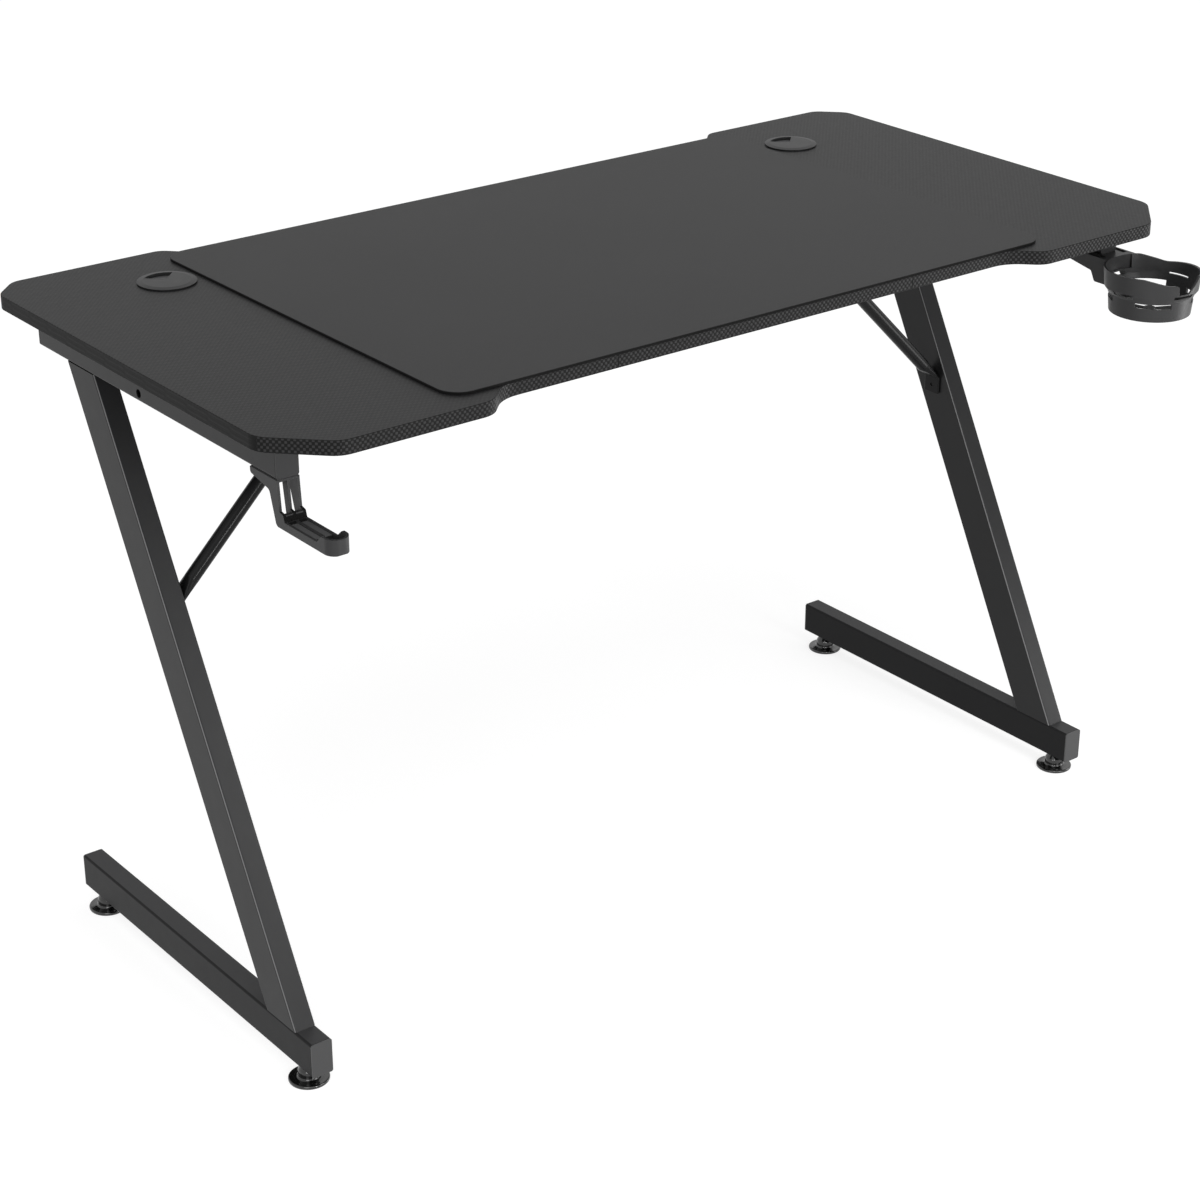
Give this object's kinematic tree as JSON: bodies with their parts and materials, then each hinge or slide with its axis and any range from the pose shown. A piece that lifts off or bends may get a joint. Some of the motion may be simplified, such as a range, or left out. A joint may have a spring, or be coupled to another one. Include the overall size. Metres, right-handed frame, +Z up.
{
  "type": "gaming desk",
  "caption": "Rectangular gaming desk on Z-shaped tube legs, with a desk mat, turning cable grommets, a headset hook, a cup holder and screw feet.",
  "frame": {"origin": "on the floor, below the middle of the desktop", "axes": "+X to the right along the desk's length, +Y to the rear, +Z up"},
  "size_m": [1.2116, 0.648, 0.7435],
  "materials": {
    "carbon_board": "dark carbon-weave film on fibreboard",
    "mat_cloth": "matt cloth",
    "frame_paint": "satin powder coat",
    "cap_plastic": "satin",
    "grommet_plastic": "satin",
    "accessory_plastic": "satin moulded",
    "leveller_plastic": "gloss moulded",
    "zinc_steel": "zinc plated",
    "black_steel": "black oxide",
    "dowel_wood": "plain beech"
  },
  "bodies": {
    "desk": {"desktop_left_panel": "carbon_board", "desktop_middle_panel": "carbon_board", "desktop_right_panel": "carbon_board", "panel_dowels": "dowel_wood", "left_seam_front_plate": "zinc_steel", "left_seam_rear_plate": "zinc_steel", "right_seam_front_plate": "zinc_steel", "right_seam_rear_plate": "zinc_steel", "seam_plate_screws": "zinc_steel", "mouse_mat": "mat_cloth", "grommet_liner_left": "grommet_plastic", "grommet_liner_right": "grommet_plastic", "left_top_rail": "frame_paint", "left_post": "frame_paint", "left_foot_bar": "frame_paint", "left_brace": "frame_paint", "crossbeam_left_plate": "frame_paint", "left_rail_front_cap": "cap_plastic", "left_foot_front_cap": "cap_plastic", "left_rail_rear_cap": "cap_plastic", "left_foot_rear_cap": "cap_plastic", "right_top_rail": "frame_paint", "right_post": "frame_paint", "right_foot_bar": "frame_paint", "right_brace": "frame_paint", "crossbeam_right_plate": "frame_paint", "right_rail_front_cap": "cap_plastic", "right_foot_front_cap": "cap_plastic", "right_rail_rear_cap": "cap_plastic", "right_foot_rear_cap": "cap_plastic", "crossbeam": "frame_paint", "crossbeam_bolts": "black_steel", "brace_screws": "black_steel", "desktop_bolts": "black_steel", "hook_screws": "black_steel", "cup_holder_screws": "black_steel", "leveller_nuts": "zinc_steel", "desktop_inserts": "zinc_steel", "headset_hook": "accessory_plastic", "cup_holder": "accessory_plastic"},
    "front_left_leveller": {"front_left_leveller_base": "leveller_plastic", "front_left_leveller_stud": "zinc_steel"},
    "rear_left_leveller": {"rear_left_leveller_base": "leveller_plastic", "rear_left_leveller_stud": "zinc_steel"},
    "front_right_leveller": {"front_right_leveller_base": "leveller_plastic", "front_right_leveller_stud": "zinc_steel"},
    "rear_right_leveller": {"rear_right_leveller_base": "leveller_plastic", "rear_right_leveller_stud": "zinc_steel"},
    "left_cap": {"grommet_cap_left": "grommet_plastic"},
    "right_cap": {"grommet_cap_right": "grommet_plastic"}
  },
  "joints": [
    {"name": "front_left_leveller_screw", "type": "slide", "parent": "desk", "child": "front_left_leveller", "axis": [0, 0, -1], "range_m": [0, 0.012]},
    {"name": "rear_left_leveller_screw", "type": "slide", "parent": "desk", "child": "rear_left_leveller", "axis": [0, 0, -1], "range_m": [0, 0.012]},
    {"name": "front_right_leveller_screw", "type": "slide", "parent": "desk", "child": "front_right_leveller", "axis": [0, 0, -1], "range_m": [0, 0.012]},
    {"name": "rear_right_leveller_screw", "type": "slide", "parent": "desk", "child": "rear_right_leveller", "axis": [0, 0, -1], "range_m": [0, 0.012]},
    {"name": "left_cap_turn", "type": "hinge", "parent": "desk", "child": "left_cap", "pos_m": [-0.44, 0.1985, 0.7405], "axis": [0, 0, 1], "continuous": true},
    {"name": "right_cap_turn", "type": "hinge", "parent": "desk", "child": "right_cap", "pos_m": [0.44, 0.1985, 0.7405], "axis": [0, 0, 1], "continuous": true}
  ]
}
